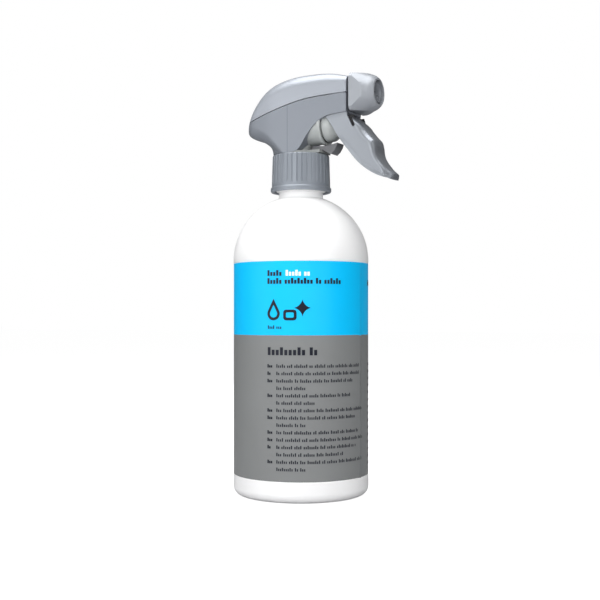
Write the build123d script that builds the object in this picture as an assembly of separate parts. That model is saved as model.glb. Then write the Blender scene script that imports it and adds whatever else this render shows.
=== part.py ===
from build123d import *
import os
from math import acos, atan2, cos, degrees, pi, sin, sqrt

# Trigger spray bottle, 500 ml. Millimetres. Origin at the centre of the bottle's base,
# +Z up the bottle, +X towards the nozzle. Each function below makes one separate piece.

# ---- bottle -------------------------------------------------------------------------------
BOTTLE_R = 36.0              # body radius
BOTTLE_WALL = 1.1
BASE_CORNER_R = 4.8          # rounding between base and side
BASE_RING_IN = 29.5          # inner radius of the flat ring that it stands on
BASE_PUSH_UP = 3.0           # height of the hollow under the base
LABEL_LOW, LABEL_HIGH = 11.3, 122.5
LABEL_SEAT = 0.2             # depth of the label panel, equal to the label's thickness
LABEL_MARGIN = 0.4           # panel reaches this far past the label's edges
DOME_Z = 124.0               # height where the side turns into the shoulder
DOME_R = BOTTLE_R - 1.0      # radius of the shoulder's arc
DOME_END_R = 13.7            # the shoulder's arc stops at this radius

# ---- 28 mm neck finish ----------------------------------------------------------------------
PITCH = 4.23                 # screw thread, per turn
THREAD_TURNS = 1.5
NECK_WALL_R = 12.55          # outside of the neck under the thread
NECK_CREST_R = 13.75         # outside of the thread
NECK_BORE_R = 10.6
NECK_WAIST_R = 11.7          # bare stretch between shoulder and collar
NECK_BEAD_R = 13.3
NECK_TOP = 177.0
NECK_THREAD_Z = 168.0        # where the thread's centre line starts

# ---- closure --------------------------------------------------------------------------------
COLLAR_LOW, COLLAR_TOP = 160.6, 180.4
COLLAR_BORE_R = 14.05
COLLAR_CREST_R = 12.95       # inside of the collar's thread
COLLAR_R_TOP, COLLAR_R_LOW = 15.15, 15.6
COLLAR_BEAD_R = 16.2
COLLAR_BEAD_TOP = 163.4
COLLAR_ROOF = 1.15           # thickness of the flange that turns inwards at the top
COLLAR_HOLE_R = 9.3
GROOVES = 36
GROOVE_LOW = 165.0
GROOVE_WIDTH, GROOVE_DEPTH = 0.8, 0.35
GASKET_THICK = 1.0
FLANGE_THICK = 1.1           # tube retainer's flange
FLANGE_R = 13.4
PLAY = 0.1                   # gap between faces that turn on each other

# ---- dip tube ---------------------------------------------------------------------------------
TUBE_R, TUBE_BORE_R = 3.0, 2.1
TUBE_LOW = 9.0
TUBE_TOP = 181.0
SOCKET_R = 4.5

# ---- pump -----------------------------------------------------------------------------------
BASE_LOW = COLLAR_TOP + 0.2  # underside of the pump body's base disc
BASE_THICK = 1.5
BASE_R = 9.8
RISER_R = 5.2                # vertical channel's tower, on the bottle's axis
SPIGOT_R = 4.0               # tube retainer's spigot, pushed up into the tower
SEAT_Z = 185.2               # top of the inlet valve's seat
FEED_R = 1.4
BALL_R = 2.3
BALL_Z = 185.97              # centre of the inlet ball on its seat
BALL_LIFT = 1.2
CAGE_R = 2.8                 # ball's chamber
CHANNEL_R = 1.7              # vertical channel above the ball
BARREL_Z = 210.0             # axis of the outlet barrel and of the nozzle
BARREL_R, BARREL_BORE_R = 4.2, 2.6
NOSE_X, NOSE_END = 28.4, 38.2
NOSE_R = 5.0
CYL_Z = 194.6                # axis of the cylinder and the piston
CYL_R, CYL_BORE_R = 9.2, 8.4
CYL_BACK, CYL_FRONT = 4.0, 15.6
HEAD_X = 12.7                # back face of the piston's head at rest
PISTON_R = 7.0
PISTON_NOSE_R = 5.1
PISTON_TIP = 24.6
PIVOT_X, PIVOT_Z = 26.4, 207.6
TRUNNION_R = 1.9
TRUNNION_Y = 8.4             # trunnions end here, each side
EAR_GAP_Y = 7.2              # bosses round the trunnions end here, inside the trigger's ears
PORT_R = 1.2                 # port between channel and cylinder
VALVE_BORE_R = 3.6           # front of the barrel, for the outlet valve and the spinner
RUNNING = 0.06               # radial clearance where one piece turns on another
PRESS = 0.05                 # radial clearance of pushed-in pieces

# ---- trigger ----------------------------------------------------------------------------------
TRIGGER_HALF = 8.6           # half width at the ears
TRIGGER_TIP_HALF = 6.8       # half width at the tip
TRIGGER_TIP_CORNER = 3.6     # round corner of the tip, seen from the front
TRIGGER_WALL = 1.1
TRIGGER_TOP, TRIGGER_TIP = 199.0, 163.8
PLATE_TOP = (34.0, 196.4)    # upper end of the front plate, below the turning nozzle's corners
PLATE_TIP = (56.4, 165.8)
PLATE_THICK = 1.4
TRIGGER_EDGE = 1.5           # radius along the front plate's long edges
PAD_GAP = 0.35               # between the piston's tip and the pad that pushes it

# ---- nozzle -------------------------------------------------------------------------------------
NOZZLE_BACK, NOZZLE_FRONT = 32.7, 45.4
NOZZLE_HALF_Y, NOZZLE_HALF_Z = 10.2, 9.7
NOZZLE_CORNER_R = 2.6
NOZZLE_WALL = 1.3
CONE_VERTEX_X = 40.0         # here the cone is exactly as wide as the square base
CONE_SLOPE = 0.463           # radius lost per millimetre forward
RIM_R, RECESS_R = 7.4, 6.3
RECESS_DEPTH = 1.7

# ---- shroud -------------------------------------------------------------------------------------
SHELL = 1.2
SHROUD_FRONT = 31.5
SHROUD_LOW = 181.3           # lower rim, just above the collar
SEAM_GAP = 0.25
# Stations of the casing from back to front: x, lowest z, highest z, half width, corner radius
STATIONS = [
    (-31.0, 193.0, 196.6, 1.8, 1.4),
    (-30.3, 192.2, 199.0, 4.4, 3.0),
    (-28.5, 190.7, 203.4, 6.8, 5.6),
    (-25.7, 189.3, 208.7, 8.8, 7.4),
    (-20.5, 187.0, 215.6, 10.2, 8.4),
    (-13.5, 181.8, 219.9, 11.0, 8.6),
    (-3.0, 171.0, 222.7, 11.2, 8.6),
    (8.0, 165.0, 223.3, 11.1, 8.2),
    (20.0, 165.0, 222.7, 10.8, 7.2),
    (SHROUD_FRONT, 165.0, 219.9, 10.5, 5.0),
]
# Stations of the casing's neck from below the rim up: z, centre x, half length, half width
NECK_STATIONS = [
    (176.0, -0.5, 16.4, 11.3),
    (SHROUD_LOW, -0.6, 16.5, 11.3),
    (184.4, -0.9, 17.0, 11.2),
    (187.0, -2.0, 18.2, 11.0),
    (189.5, -3.4, 19.8, 10.2),
]
TAIL_START = -13.5           # behind this the casing's wall is also inset along X
TAIL_STATIONS = 6            # the rounded tail runs through this many stations
BODY_STEPS = 12              # even steps between the tail and the open front


def on_side(*edges):
    """Face in the XZ plane from edges given as (x, z)."""
    return Plane.XZ * make_face(edges)


def plate(face, half_width):
    return extrude(face, amount=half_width, both=True)


def turned(*edges):
    """Solid of revolution about the bottle's axis, from edges given as (radius, z)."""
    return revolve(on_side(*edges), Axis.Z)


def upright(radius, low, high):
    height = high - low
    return Pos(0, 0, low) * Cylinder(radius, height, align=(Align.CENTER, Align.CENTER, Align.MIN))


def ring(outer, inner, low, high):
    return upright(outer, low, high) - upright(inner, low - 1, high + 1)


def along_x(radius, back, front, z):
    rod = Cylinder(radius, front - back, align=(Align.CENTER, Align.CENTER, Align.MIN))
    return Pos(back, 0, z) * Rot(0, 90, 0) * rod


def along_y(radius, low, high, x, z):
    rod = Cylinder(radius, high - low, align=(Align.CENTER, Align.CENTER, Align.MIN))
    return Pos(x, low, z) * Rot(-90, 0, 0) * rod


def turned_x(z, *points):
    """Solid of revolution about an axis along X at height z, from (x, radius) points."""
    face = Plane.XZ * make_face(Polyline(*points, close=True))
    return Pos(0, 0, z) * revolve(face, Axis.X)


def block(x0, x1, y0, y1, z0, z1):
    box = Box(x1 - x0, y1 - y0, z1 - z0, align=(Align.MIN, Align.MIN, Align.MIN))
    return Pos(x0, y0, z0) * box


def thread(root_r, crest_r, root_half, crest_half, turns, start_z):
    """Screw thread whose root is buried a little in the wall it stands on."""
    path = Helix(pitch=PITCH, height=PITCH * turns, radius=root_r)
    start = Plane(path @ 0, x_dir=(1, 0, 0), z_dir=path % 0)
    rise = crest_r - root_r
    corners = [(0, -root_half), (rise, -crest_half), (rise, crest_half), (0, root_half)]
    section = start * make_face(Polyline(*corners, close=True))
    return Pos(0, 0, start_z) * sweep(section, path, is_frenet=True)


# ---- bottle ---------------------------------------------------------------------------------------
def dome_arc(inset, end_r):
    """Shoulder arc from the side wall up to end_r, moved in by inset."""
    radius = DOME_R - inset
    end = acos((end_r - 1.0) / radius)

    def at(angle):
        return (1.0 + radius * cos(angle), DOME_Z + radius * sin(angle))

    return ThreePointArc(at(0), at(end / 2), at(end)), at(end)


def bottle_form():
    """Outside of the bottle, filled."""
    dome, dome_end = dome_arc(0, DOME_END_R)
    ring_out = BOTTLE_R - BASE_CORNER_R
    panel_r = BOTTLE_R - LABEL_SEAT
    panel_low, panel_high = LABEL_LOW - LABEL_MARGIN, LABEL_HIGH + LABEL_MARGIN
    return turned(
        ThreePointArc((0, BASE_PUSH_UP), (BASE_RING_IN * 0.6, BASE_PUSH_UP * 0.7), (BASE_RING_IN, 0)),
        Line((BASE_RING_IN, 0), (ring_out, 0)),
        TangentArc((ring_out, 0), (BOTTLE_R, BASE_CORNER_R), tangent=(1, 0)),
        Polyline(
            (BOTTLE_R, BASE_CORNER_R),
            (BOTTLE_R, panel_low - LABEL_SEAT),
            (panel_r, panel_low),
            (panel_r, panel_high),
            (BOTTLE_R, panel_high + LABEL_SEAT),
            (BOTTLE_R, DOME_Z),
        ),
        dome,
        Polyline(
            dome_end,
            (NECK_WAIST_R + 0.5, dome_end[1] + 0.5),
            (NECK_WAIST_R, dome_end[1] + 1.4),
            (NECK_WAIST_R, 160.4),
            (NECK_BEAD_R, 161.3),
            (NECK_BEAD_R, 162.5),
            (NECK_WALL_R, 163.2),
            (NECK_WALL_R, NECK_TOP - 0.5),
            (NECK_WALL_R - 0.5, NECK_TOP),
            (0, NECK_TOP),
            (0, BASE_PUSH_UP),
        ),
    )


def bottle_cavity():
    """Inside of the bottle, running out past the mouth."""
    dome, dome_end = dome_arc(BOTTLE_WALL, NECK_BORE_R + 1.6)
    inner_r = BOTTLE_R - BOTTLE_WALL
    corner_z = BASE_CORNER_R + 0.6
    floor_edge = (inner_r - 4.2, 1.4)
    floor_z = BASE_PUSH_UP + 1.3
    return turned(
        ThreePointArc((0, floor_z), (BASE_RING_IN * 0.6, floor_z - 1.0), floor_edge),
        TangentArc((inner_r, corner_z), floor_edge, tangent=(0, -1)),
        Line((inner_r, corner_z), (inner_r, DOME_Z)),
        dome,
        Polyline(
            dome_end,
            (NECK_BORE_R, dome_end[1] + 1.8),
            (NECK_BORE_R, NECK_TOP + 1),
            (0, NECK_TOP + 1),
            (0, floor_z),
        ),
    )


def make_bottle():
    screw = thread(NECK_WALL_R - 0.3, NECK_CREST_R, 1.3, 0.6, THREAD_TURNS, NECK_THREAD_Z)
    return bottle_form() - bottle_cavity() + screw


def make_label():
    """Wrap label: one thin sleeve with a narrow joint on the nozzle side."""
    sleeve = ring(BOTTLE_R, BOTTLE_R - LABEL_SEAT + 0.01, LABEL_LOW, LABEL_HIGH)
    joint = block(BOTTLE_R - 2, BOTTLE_R + 2, -1.4, -1.1, LABEL_LOW - 1, LABEL_HIGH + 1)
    return sleeve - joint


# ---- closure ----------------------------------------------------------------------------------------
def make_collar():
    roof_z = COLLAR_TOP - COLLAR_ROOF
    shell = turned(
        Polyline(
            (COLLAR_BORE_R + 0.5, COLLAR_LOW),
            (COLLAR_BEAD_R - 0.5, COLLAR_LOW),
            (COLLAR_BEAD_R, COLLAR_LOW + 0.6),
            (COLLAR_BEAD_R, COLLAR_BEAD_TOP - 0.7),
            (COLLAR_R_LOW, COLLAR_BEAD_TOP),
            (COLLAR_R_LOW, GROOVE_LOW),
            (COLLAR_R_TOP, COLLAR_TOP - 0.9),
        ),
        TangentArc(
            (COLLAR_R_TOP, COLLAR_TOP - 0.9),
            (COLLAR_R_TOP - 0.9, COLLAR_TOP),
            tangent=(-0.03, 1),
        ),
        Polyline(
            (COLLAR_R_TOP - 0.9, COLLAR_TOP),
            (COLLAR_HOLE_R, COLLAR_TOP),
            (COLLAR_HOLE_R, roof_z),
            (COLLAR_BORE_R, roof_z),
            (COLLAR_BORE_R, COLLAR_LOW + 0.5),
            (COLLAR_BORE_R + 0.5, COLLAR_LOW),
        ),
    )
    lean = degrees(atan2(COLLAR_R_LOW - COLLAR_R_TOP, COLLAR_TOP - GROOVE_LOW))
    height = COLLAR_TOP - GROOVE_LOW + 2
    wedge = extrude(
        make_face(
            Polyline(
                (-GROOVE_DEPTH, 0),
                (GROOVE_DEPTH, -GROOVE_WIDTH),
                (GROOVE_DEPTH, GROOVE_WIDTH),
                close=True,
            )
        ),
        amount=height,
    )
    cutter = Pos(COLLAR_R_LOW, 0, GROOVE_LOW) * Rot(0, -lean, 0) * wedge
    grooves = [Rot(0, 0, 360 / GROOVES * i) * cutter for i in range(GROOVES)]
    shell = shell - grooves
    start = NECK_THREAD_Z - PITCH / 2
    screw = thread(COLLAR_BORE_R + 0.3, COLLAR_CREST_R, 1.05, 0.4, THREAD_TURNS, start)
    return shell + screw


def make_gasket():
    return ring(FLANGE_R, SOCKET_R + 2.5, NECK_TOP, NECK_TOP + GASKET_THICK)


def make_tube_retainer():
    """Flange clamped on the neck, socket for the dip tube below, valve seat on the spigot above."""
    flange_low = NECK_TOP + GASKET_THICK
    flange_top = flange_low + FLANGE_THICK
    socket_low = flange_low - 11
    seat_depth = 1.2
    body = (
        upright(FLANGE_R, flange_low, flange_top)
        + upright(SOCKET_R, socket_low, flange_low)
        + upright(SPIGOT_R, flange_low, SEAT_Z)
    )
    tube_bore = upright(TUBE_R + PRESS, socket_low - 1, TUBE_TOP + PRESS)
    feed = upright(FEED_R, socket_low, SEAT_Z + 1)
    seat = Cone(FEED_R, FEED_R + 1, seat_depth, align=(Align.CENTER, Align.CENTER, Align.MIN))
    return body - tube_bore - feed - Pos(0, 0, SEAT_Z - seat_depth) * seat


def make_dip_tube():
    return ring(TUBE_R, TUBE_BORE_R, TUBE_LOW, TUBE_TOP)


def make_tube_filter():
    """Strainer cup pushed over the tube's lower end, with slots round its wall."""
    low, high = TUBE_LOW - 3.2, TUBE_LOW + 7
    cup = upright(TUBE_R + 1.1, low, high) - upright(TUBE_R + PRESS, TUBE_LOW, high + 1)
    cup -= upright(TUBE_BORE_R, low + 1.0, TUBE_LOW + 1)
    slot = block(0, TUBE_R + 3, -0.5, 0.5, low + 1.2, low + 2.8)
    return cup - [Rot(0, 0, 45 * i) * slot for i in range(8)]


def make_inlet_ball():
    return Pos(0, 0, BALL_Z) * Sphere(BALL_R)


# ---- pump -------------------------------------------------------------------------------------------
def make_pump_body():
    """Base disc and shank, riser on the bottle's axis, backing for the cylinder, outlet barrel."""
    shank_low = NECK_TOP + GASKET_THICK + FLANGE_THICK
    base_top = BASE_LOW + BASE_THICK
    cage_top = BALL_Z + BALL_LIFT + PRESS + sqrt(BALL_R ** 2 - CHANNEL_R ** 2)
    body = upright(COLLAR_HOLE_R - 0.5, shank_low, BASE_LOW) + upright(BASE_R, BASE_LOW, base_top)
    body += block(0, 14.4, -6.5, 6.5, BASE_LOW, base_top)
    body += upright(RISER_R + 1.0, BASE_LOW, CYL_Z - 4) + upright(RISER_R, BASE_LOW, BARREL_Z)
    body += along_x(CYL_R, CYL_BACK - 2.4, CYL_BACK - 0.2, CYL_Z)
    body += along_x(BARREL_R, -RISER_R, NOSE_X, BARREL_Z)
    body += along_x(NOSE_R, NOSE_X, NOSE_END, BARREL_Z)
    body += along_y(TRUNNION_R, -TRUNNION_Y, TRUNNION_Y, PIVOT_X, PIVOT_Z)
    body += along_y(TRUNNION_R + 0.9, -EAR_GAP_Y, EAR_GAP_Y, PIVOT_X, PIVOT_Z)
    body -= along_x(CYL_R + PRESS, CYL_BACK - 0.2, CYL_FRONT + 20, CYL_Z)
    body -= upright(SPIGOT_R + PRESS, shank_low - 1, SEAT_Z)
    body -= upright(CAGE_R, SEAT_Z - 1, cage_top)
    body -= upright(CHANNEL_R, cage_top - 1, BARREL_Z)
    body -= along_x(BARREL_BORE_R, 0, NOSE_X, BARREL_Z)
    body -= along_x(VALVE_BORE_R, NOSE_X - 1, NOSE_END + 1, BARREL_Z)
    body -= along_x(PORT_R, 0, CYL_BACK, CYL_Z)
    return body


def make_pump_cylinder():
    """Cup that the piston slides in, open to the front, with a port in its back wall."""
    cup = along_x(CYL_R, CYL_BACK - 0.2, CYL_FRONT, CYL_Z)
    cup += along_x(CYL_R + 0.5, CYL_FRONT - 1.6, CYL_FRONT, CYL_Z)
    cup -= along_x(CYL_BORE_R, CYL_BACK + 1.0, CYL_FRONT + 1, CYL_Z)
    return cup - along_x(PORT_R, CYL_BACK - 1, CYL_BACK + 2, CYL_Z)


def make_piston():
    """Hollow plunger, open to the back for the spring, stepped down to a domed nose."""
    groove_r = 6.4
    plunger = turned_x(
        CYL_Z,
        (HEAD_X, 0),
        (HEAD_X, 7.0),
        (HEAD_X + 1.0, 7.0),
        (HEAD_X + 1.0, groove_r),
        (HEAD_X + 2.2, groove_r),
        (HEAD_X + 2.2, PISTON_R),
        (18.8, PISTON_R),
        (20.4, PISTON_NOSE_R),
        (22.6, PISTON_NOSE_R),
        (23.9, PISTON_NOSE_R - 1.6),
        (PISTON_TIP - 0.1, 1.6),
        (PISTON_TIP, 0),
    )
    return plunger - along_x(5.2, HEAD_X - 1, 19.4, CYL_Z)


def make_piston_seal():
    """Cup ring in the groove of the piston's head, with a lip that wipes the bore."""
    lip_r = CYL_BORE_R - 0.05
    return turned_x(
        CYL_Z,
        (HEAD_X + 1.05, 6.45),
        (HEAD_X + 2.15, 6.45),
        (HEAD_X + 2.15, lip_r - 0.2),
        (HEAD_X + 1.7, lip_r),
        (HEAD_X + 0.1, lip_r),
        (HEAD_X + 0.1, lip_r - 0.5),
        (HEAD_X + 1.05, lip_r - 1.0),
    )


def make_return_spring():
    """Compression spring between the cylinder's back wall and the inside of the piston."""
    back, front, wire, turns = CYL_BACK + 1.1, 19.3, 0.45, 6
    height = front - back - 2 * wire
    coil = Helix(pitch=height / turns, height=height, radius=4.5)
    section = Plane(coil @ 0, z_dir=coil % 0) * Circle(wire)
    spring = sweep(section, coil, is_frenet=True)
    return Pos(back + wire, 0, CYL_Z) * Rot(0, 90, 0) * spring


def make_trigger_stop():
    """Dark tongue clipped to the base under the cylinder, which the trigger closes over."""
    root_x = 12.6
    tongue = on_side(
        Polyline((root_x, 182.15), (14.6, 182.15), (18.0, 180.3), (19.7, 179.6)),
        Polyline((19.7, 179.6), (21.4, 181.0), (22.9, 183.2), (23.5, 185.2)),
        Spline((23.5, 185.2), (20.8, 184.7), (16.6, 184.1), (root_x, 184.4)),
        Line((root_x, 184.4), (root_x, 182.15)),
    )
    stem = block(BASE_R - 1.4, 13.0, -3.4, 3.4, BASE_LOW + BASE_THICK, 184.2)
    return plate(tongue, 3.9) + stem


# ---- trigger ------------------------------------------------------------------------------------------
def trigger_front(inset):
    """Front of the trigger in side view, with its two finger waves, moved in by inset."""
    return Spline(
        (PLATE_TOP[0] - inset, PLATE_TOP[1]),
        (36.8 - inset, 192.0),
        (39.7 - inset, 186.6),
        (44.4 - inset, 181.4),
        (46.5 - inset, 176.6),
        (50.6 - inset, 170.4),
        (PLATE_TIP[0] - 2.2 * inset, PLATE_TIP[1] + 0.5 * inset),
    )


def trigger_taper(inset):
    """Wedge with a round tip seen from the front, moved in by inset, to cut the trigger's sides to."""
    half_top, half_tip, tip = TRIGGER_HALF - inset, TRIGGER_TIP_HALF - inset, TRIGGER_TIP + inset
    high = PIVOT_Z + 8
    face = make_face(
        Polyline(
            (-half_tip, tip),
            (half_tip, tip),
            (half_top, TRIGGER_TOP),
            (half_top, high),
            (-half_top, high),
            (-half_top, TRIGGER_TOP),
            close=True,
        )
    )
    tip_corners = face.vertices().sort_by(Axis.Y)[:2]
    return extrude(Plane.YZ * fillet(tip_corners, TRIGGER_TIP_CORNER - inset), amount=80)


def make_trigger():
    """Open-backed channel with a front plate, two ears on the trunnions and a pad for the piston."""
    ear_r = TRUNNION_R + 1.8
    ear_back, ear_front = (PIVOT_X - ear_r, PIVOT_Z), (PIVOT_X + ear_r, PIVOT_Z)
    tip = (55.6, 164.0)
    back = Spline(tip, (48.0, 166.1), (39.1, 171.8), (28.8, 183.7), (18.9, 198.9))
    outline = on_side(
        trigger_front(0),
        Line(PLATE_TIP, tip),
        back,
        Line((18.9, 198.9), ear_back),
        ThreePointArc(ear_back, (PIVOT_X, PIVOT_Z + ear_r), ear_front),
        Polyline(ear_front, (31.2, 199.6), (31.4, 196.9), PLATE_TOP),
    )
    body = plate(outline, TRIGGER_HALF)
    front_edges = [e for e in body.edges() if abs(e.center().Y) > 6 and 30 < e.length and e.center().X > 40]
    body = fillet(front_edges, TRIGGER_EDGE) & trigger_taper(0)
    inner_half = TRIGGER_HALF - TRIGGER_WALL
    tip_x, tip_z = PLATE_TIP[0] - 2.2 * PLATE_THICK, PLATE_TIP[1] + 0.5 * PLATE_THICK
    top_x = PLATE_TOP[0] - PLATE_THICK
    hollow = on_side(
        trigger_front(PLATE_THICK),
        Polyline((tip_x, tip_z), (tip_x, 160), (10, 160), (10, 214), (top_x, 214), (top_x, PLATE_TOP[1])),
    )
    body -= plate(hollow, inner_half) & trigger_taper(TRIGGER_WALL)
    pad_x = PISTON_TIP + PAD_GAP
    body += block(pad_x, pad_x + 1.6, -inner_half, inner_half, 189.5, 199.0)
    body += block(pad_x, 36.4, -0.7, 0.7, 190.5, 195.5) & plate(outline, 1)
    body -= along_y(TRUNNION_R + RUNNING, -12, 12, PIVOT_X, PIVOT_Z)
    slot = on_side(Polyline((31.0, 198.2), (32.2, 198.2), (35.2, 191.4), (33.9, 191.4), close=True))
    for side in (-1, 1):
        body -= Pos(0, side * (TRIGGER_HALF - 0.6), 0) * plate(slot, 1.5)
    return body


# ---- outlet -------------------------------------------------------------------------------------------
def make_outlet_valve():
    """Soft cup that closes the barrel's bore from in front."""
    back = NOSE_X - 0.8
    return turned_x(
        BARREL_Z,
        (back, 0),
        (back + 1.4, 3.2),
        (back + 4.0, 3.2),
        (back + 4.0, 2.4),
        (back + 1.8, 2.2),
        (back + 0.9, 0),
    )


def make_spinner():
    """Swirl core in the barrel's nose, with three slots across its front collar."""
    core = along_x(2.2, 32.4, NOSE_END - 0.4, BARREL_Z)
    core += along_x(VALVE_BORE_R - PRESS, 34.0, 36.4, BARREL_Z)
    slot = block(33.5, 37.0, 1.9, 4.0, -0.5, 0.5)
    return core - [Pos(0, 0, BARREL_Z) * Rot(120 * i, 0, 0) * slot for i in range(3)]


def make_nozzle_seal():
    return turned_x(
        BARREL_Z,
        (NOSE_END + 0.05, 2.4),
        (NOSE_END + 0.75, 2.4),
        (NOSE_END + 0.75, 4.7),
        (NOSE_END + 0.05, 4.7),
    )


def nozzle_form(inset):
    """Square with round corners, cut to a cone that leaves a curved-edged flat on each side."""
    half_y, half_z = NOZZLE_HALF_Y - inset, NOZZLE_HALF_Z - inset
    square = RectangleRounded(2 * half_y, 2 * half_z, NOZZLE_CORNER_R - inset / 2)
    start = Plane(origin=(NOZZLE_BACK, 0, BARREL_Z), x_dir=(0, 1, 0), z_dir=(1, 0, 0))
    prism = extrude(start * square, amount=NOZZLE_FRONT - NOZZLE_BACK)
    back_r = NOZZLE_HALF_Y + (CONE_VERTEX_X - NOZZLE_BACK) * CONE_SLOPE - inset
    turn_x = 41.6
    turn_r = NOZZLE_HALF_Y - (turn_x - CONE_VERTEX_X) * CONE_SLOPE - inset
    profile = Plane.XZ * make_face(
        [
            Polyline((NOZZLE_FRONT, RIM_R - 0.3 - inset), (NOZZLE_FRONT, 0), (NOZZLE_BACK, 0)),
            Polyline((NOZZLE_BACK, 0), (NOZZLE_BACK, back_r), (turn_x, turn_r)),
            ThreePointArc(
                (turn_x, turn_r), (44.2, 8.25 - inset), (NOZZLE_FRONT, RIM_R - 0.3 - inset)
            ),
        ]
    )
    return prism & Pos(0, 0, BARREL_Z) * revolve(profile, Axis.X)


def make_nozzle_cap():
    """Square-based cap that turns on the barrel's nose."""
    wall_back = NOSE_END + 0.8
    insert_back = 42.2
    cavity = nozzle_form(NOZZLE_WALL) & block(0, wall_back, -20, 20, 190, 230)
    hub = along_x(NOSE_R + 1.3, NOZZLE_BACK + 0.8, wall_back, BARREL_Z)
    cap = nozzle_form(0) - (cavity - hub)
    cap -= along_x(NOSE_R + RUNNING, NOZZLE_BACK - 1, wall_back, BARREL_Z)
    cap -= along_x(1.6, wall_back - 1, insert_back + 1, BARREL_Z)
    return cap - along_x(RECESS_R, insert_back, NOZZLE_FRONT + 1, BARREL_Z)


def make_nozzle_insert():
    """Orifice disc pressed into the cap's front, dished round the hole."""
    back, front = 42.25, NOZZLE_FRONT - RECESS_DEPTH
    return turned_x(
        BARREL_Z,
        (back, 0.45),
        (back, RECESS_R - PRESS),
        (front, RECESS_R - PRESS),
        (front, 4.6),
        (front - 0.9, 1.0),
        (front - 0.9, 0.45),
    )


# ---- shroud -------------------------------------------------------------------------------------------
def between_stations(x):
    """Station of the casing at x, on smooth curves through the ones before and after it."""
    after = next(i for i, station in enumerate(STATIONS) if station[0] >= x - 0.001)
    before = max(after - 1, 0)
    start, end = STATIONS[before], STATIONS[after]
    span = end[0] - start[0]
    t = (x - start[0]) / span
    values = [x]
    for k in range(1, len(start)):
        slopes = []
        for i in (before, after):
            left, right = STATIONS[max(i - 1, 0)], STATIONS[min(i + 1, len(STATIONS) - 1)]
            slopes.append((right[k] - left[k]) / (right[0] - left[0]) * span)
        values.append(
            (2 * t**3 - 3 * t**2 + 1) * start[k]
            + (t**3 - 2 * t**2 + t) * slopes[0]
            + (3 * t**2 - 2 * t**3) * end[k]
            + (t**3 - t**2) * slopes[1]
        )
    return values


def casing_section(station, inset):
    """Rectangle with round corners across the casing, moved in by inset."""
    x, low, high, half, corner = station
    half -= inset
    tall = (high - low) / 2 - inset
    x += inset * max(0, TAIL_START - x) / (TAIL_START - STATIONS[0][0])
    corner = min(corner - 0.5 * inset, 0.95 * min(half, tall))
    place = Plane(origin=(x, 0, (low + high) / 2), x_dir=(0, 1, 0), z_dir=(1, 0, 0))
    return place * RectangleRounded(2 * half, 2 * tall, corner)


def casing(inset):
    """Casing as a solid, moved in by inset; the inner one runs out past the open front and rim."""
    tail = [casing_section(station, inset) for station in STATIONS[:TAIL_STATIONS]]
    step = (SHROUD_FRONT - TAIL_START) / BODY_STEPS
    along = [casing_section(between_stations(TAIL_START + step * n), inset) for n in range(BODY_STEPS + 1)]
    neck = [
        Pos(x, 0, z) * Ellipse(half_length - inset, half_width - inset)
        for z, x, half_length, half_width in NECK_STATIONS
    ]
    solid = loft(tail) + loft(along, ruled=True) + loft(neck)
    if inset:
        past_front = (SHROUD_FRONT + 1,) + STATIONS[-1][1:]
        solid += loft([along[-1], casing_section(past_front, inset)])
    return solid


def below_rim():
    """Everything under the casing's lower edge, which rises over the trigger to the front."""
    return plate(
        on_side(
            Polyline((-50, 150), (-50, SHROUD_LOW), (0.0, SHROUD_LOW)),
            Spline(
                (0.0, SHROUD_LOW),
                (2.8, 182.3),
                (5.2, 184.9),
                (8.0, 189.2),
                (12.4, 194.3),
                (18.4, 198.3),
                (26.0, 199.6),
                (34.0, 199.9),
            ),
            Polyline((34, 199.9), (34, 150), (-50, 150)),
        ),
        40,
    )


def above_seam(shift):
    seam = Spline(
        (-50, 197.5 + shift),
        (-32, 198.9 + shift),
        (-25, 200.2 + shift),
        (-14, 203.5 + shift),
        (4, 208.0 + shift),
        (20, 209.5 + shift),
        (50, 210.4 + shift),
    )
    top = 260
    return plate(on_side(seam, Polyline((50, 210.4 + shift), (50, top), (-50, top), (-50, 197.5 + shift))), 40)


def make_shroud():
    """Cover and housing: one hollow casing, parted along the seam, each with locating ribs."""
    inner, outer, rim = casing(SHELL), casing(0), below_rim()
    cover = (outer & above_seam(SEAM_GAP / 2)) - inner
    for x in (-2.0, 19.0):
        rib = inner & block(x, x + 1.2, -20, 20, BARREL_Z + 2.5, 230)
        cover += rib - along_x(BARREL_R + PRESS, -20, 40, BARREL_Z)
    housing = outer - above_seam(-SEAM_GAP / 2) - rim - inner
    rib = inner & block(-7.4, -6.3, -20, 20, BASE_LOW + BASE_THICK + 3, 200)
    housing += rib
    return cover, housing


def main():
    os.makedirs("parts", exist_ok=True)
    cover, housing = make_shroud()
    pieces = {
        "bottle": make_bottle(),
        "label": make_label(),
        "collar": make_collar(),
        "gasket": make_gasket(),
        "tube_retainer": make_tube_retainer(),
        "dip_tube": make_dip_tube(),
        "tube_filter": make_tube_filter(),
        "inlet_ball": make_inlet_ball(),
        "pump_body": make_pump_body(),
        "pump_cylinder": make_pump_cylinder(),
        "piston": make_piston(),
        "piston_seal": make_piston_seal(),
        "return_spring": make_return_spring(),
        "trigger_stop": make_trigger_stop(),
        "trigger": make_trigger(),
        "outlet_valve": make_outlet_valve(),
        "spinner": make_spinner(),
        "nozzle_seal": make_nozzle_seal(),
        "nozzle_cap": make_nozzle_cap(),
        "nozzle_insert": make_nozzle_insert(),
        "shroud_cover": cover,
        "shroud_housing": housing,
    }
    for name, piece in pieces.items():
        export_step(piece, f"parts/{name}.step")


if __name__ == "__main__":
    main()
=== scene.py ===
"""Looks of the 500 ml trigger spray bottle: materials, label, moulded shells, light and camera."""
import math

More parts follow.
